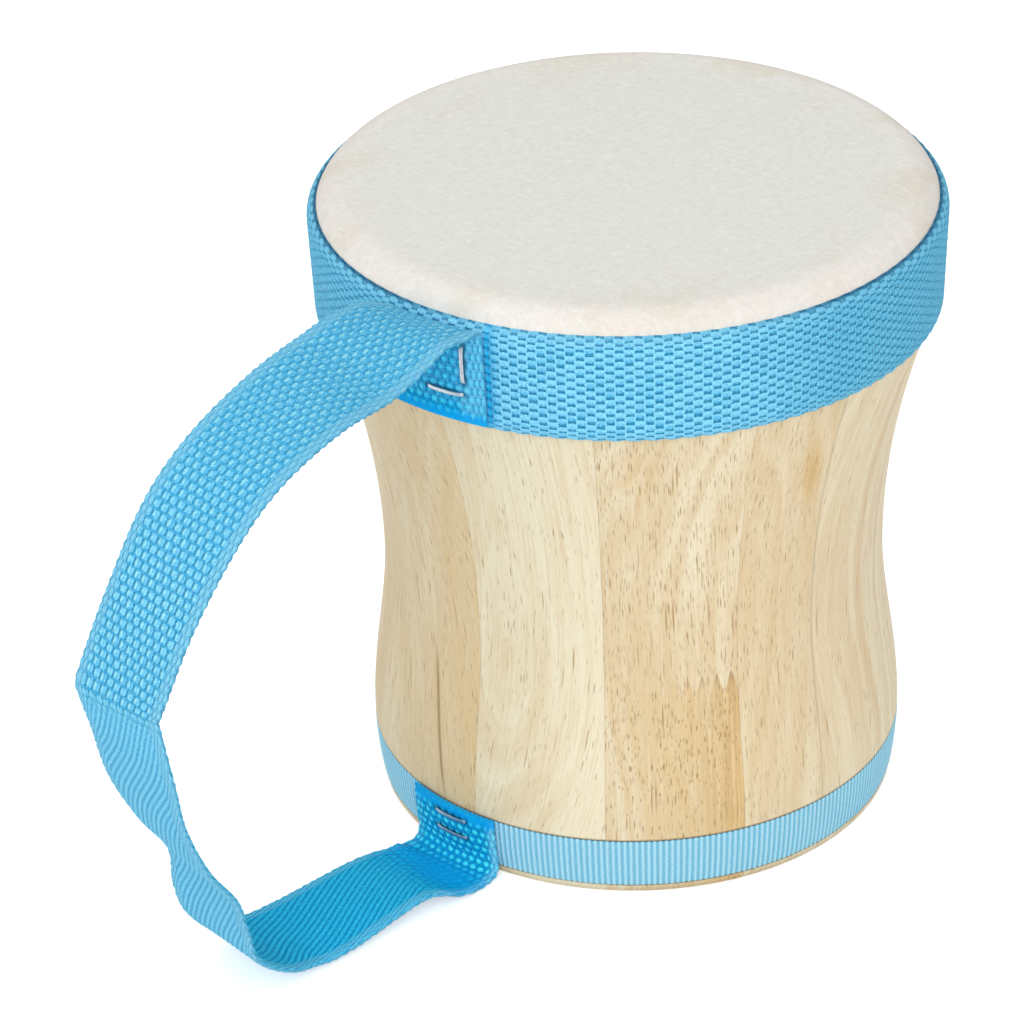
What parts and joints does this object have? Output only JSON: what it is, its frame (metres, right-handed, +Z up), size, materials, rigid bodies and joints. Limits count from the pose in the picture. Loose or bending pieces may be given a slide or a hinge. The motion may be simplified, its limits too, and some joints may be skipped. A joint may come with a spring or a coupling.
{
  "type": "hand drum",
  "caption": "Hourglass hand drum of glued wooden staves with a hide head, a webbing band round the rim, a ribbon round the foot and a webbing strap loop for the hand on one side.",
  "frame": {"origin": "on the drum's axis, at the plane of the foot ring that it stands on", "axes": "+Z up the drum's axis to the head, -X out to the strap loop, Y across the loop"},
  "size_m": [0.2405, 0.144, 0.1544],
  "materials": {
    "stave_wood": "clear lacquer over pale rubberwood",
    "hide": "raw, matt, slightly napped",
    "webbing": "woven sky-blue webbing",
    "ribbon": "ribbed grosgrain",
    "staple_steel": "bright zinc-coated wire"
  },
  "bodies": {
    "drum": {"shell_stave_01": "stave_wood", "shell_stave_02": "stave_wood", "shell_stave_02_foot": "stave_wood", "shell_stave_03": "stave_wood", "shell_stave_04": "stave_wood", "shell_stave_05": "stave_wood", "shell_stave_06": "stave_wood", "shell_stave_07": "stave_wood", "shell_stave_08": "stave_wood", "shell_stave_09": "stave_wood", "shell_stave_10": "stave_wood", "shell_stave_11": "stave_wood", "shell_stave_12": "stave_wood", "drumhead": "hide", "rim_band": "webbing", "base_ribbon": "ribbon", "strap_top_lap": "webbing", "strap_bottom_lap": "webbing", "hide_staple_01": "staple_steel", "hide_staple_02": "staple_steel", "hide_staple_03": "staple_steel", "hide_staple_04": "staple_steel", "hide_staple_05": "staple_steel", "hide_staple_06": "staple_steel", "hide_staple_07": "staple_steel", "hide_staple_08": "staple_steel", "hide_staple_09": "staple_steel", "hide_staple_10": "staple_steel", "hide_staple_11": "staple_steel", "hide_staple_12": "staple_steel", "strap_top_staple_1": "staple_steel", "strap_top_staple_2": "staple_steel", "strap_bottom_staple_1": "staple_steel", "strap_bottom_staple_2": "staple_steel"},
    "strap": {"strap_loop": "webbing"}
  },
  "joints": [
    {"name": "strap_swing", "type": "hinge", "parent": "drum", "child": "strap", "pos_m": [-0.068, 0, 0], "axis": [0, 0, 1], "range_deg": [-35, 35]}
  ]
}
